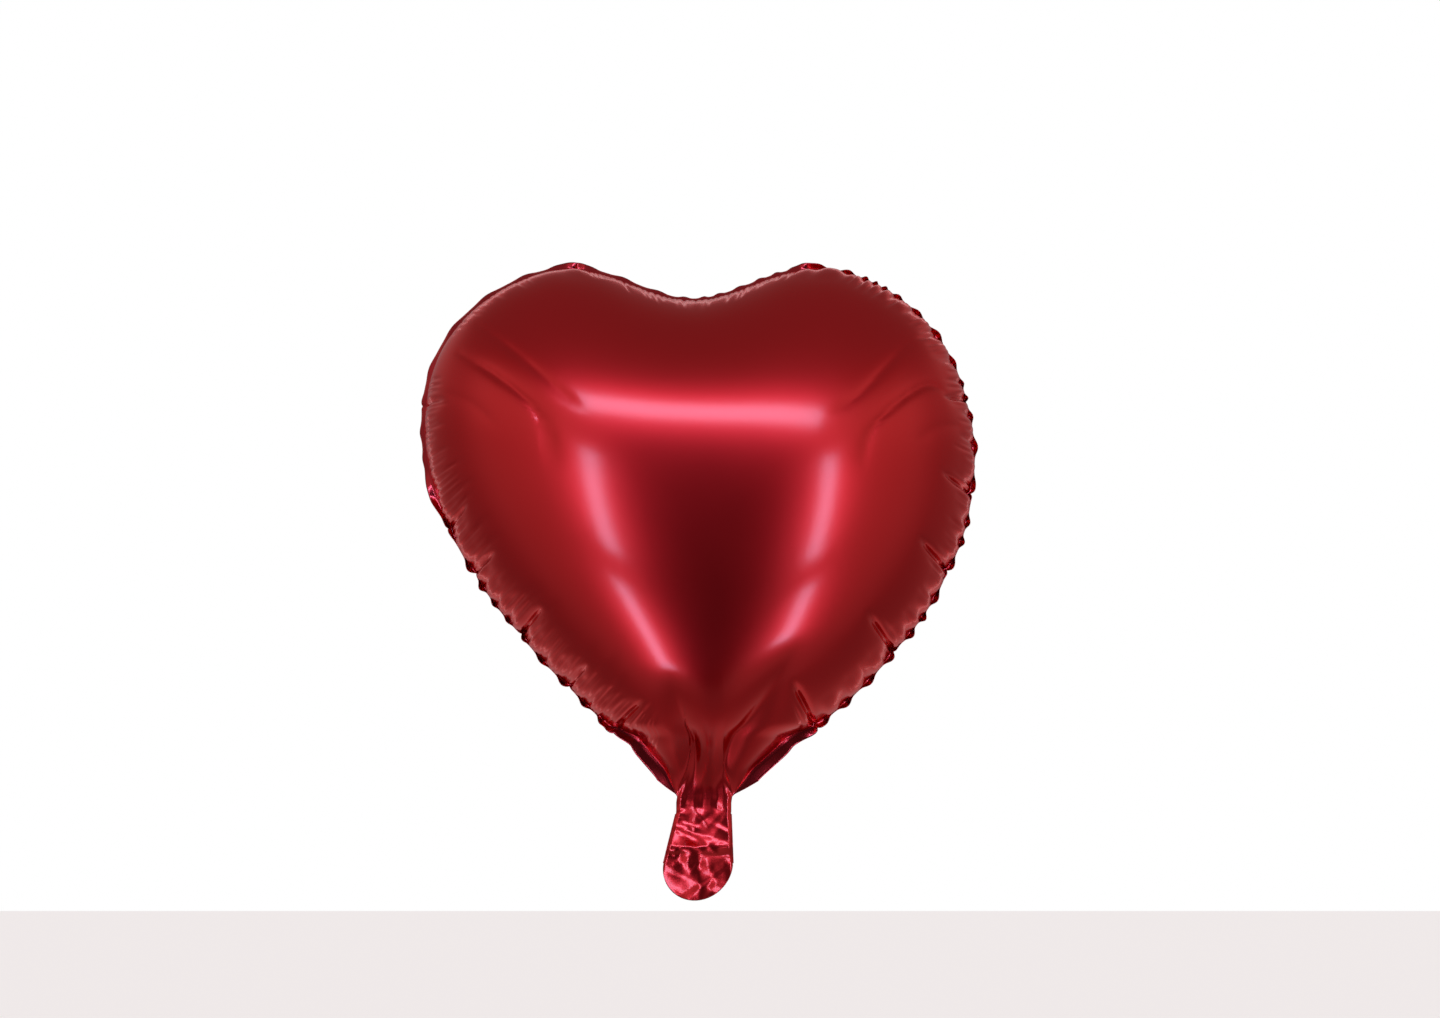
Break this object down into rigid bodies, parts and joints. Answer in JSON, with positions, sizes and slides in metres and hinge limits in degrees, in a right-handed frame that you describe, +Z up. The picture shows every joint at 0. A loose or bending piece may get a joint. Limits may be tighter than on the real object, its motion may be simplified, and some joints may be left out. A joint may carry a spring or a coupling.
{
  "type": "heart-shaped foil balloon",
  "caption": "Inflated heart-shaped foil balloon with a puckered welded edge, a flattened neck to tie, a folding round-ended tail and a self-sealing film valve inside.",
  "frame": {"origin": "centre of the flattened neck, where a ribbon ties round it between the heart and its tail", "axes": "+Z up from the neck to the lobes, +X to the right seen from the front, front panel faces -Y"},
  "size_m": [0.3493, 0.208, 0.396],
  "materials": {
    "red_foil": "satin red metallised film",
    "welded_foil": "satin red metallised film, heat sealed",
    "valve_film": "clear polyethylene film"
  },
  "bodies": {
    "envelope": {"front_panel": "red_foil", "rear_panel": "red_foil", "edge_seam": "welded_foil", "neck_sleeve": "red_foil", "valve_throat_films": "valve_film"},
    "tail": {"tail_front_ply": "red_foil", "tail_rear_ply": "red_foil", "tail_side_welds": "welded_foil", "valve_inlet_front_film": "valve_film", "valve_inlet_rear_film": "valve_film"},
    "front_lip": {"valve_front_lip": "valve_film"},
    "rear_lip": {"valve_rear_lip": "valve_film"}
  },
  "joints": [
    {"name": "tail_fold", "type": "hinge", "parent": "envelope", "child": "tail", "pos_m": [0, 0, -0.005], "axis": [1, 0, 0], "range_deg": [-100, 100]},
    {"name": "front_lip_open", "type": "hinge", "parent": "envelope", "child": "front_lip", "pos_m": [0, -0.00045, 0.005], "axis": [1, 0, 0], "range_deg": [0, 6], "stiffness_Nm_per_rad": 0.002},
    {"name": "rear_lip_open", "type": "hinge", "parent": "envelope", "child": "rear_lip", "pos_m": [0, 0.00045, 0.005], "axis": [1, 0, 0], "range_deg": [-6, 0], "stiffness_Nm_per_rad": 0.002}
  ],
  "couplings": [
    {"joint": "rear_lip_open", "follows": "front_lip_open", "ratio": -1}
  ]
}
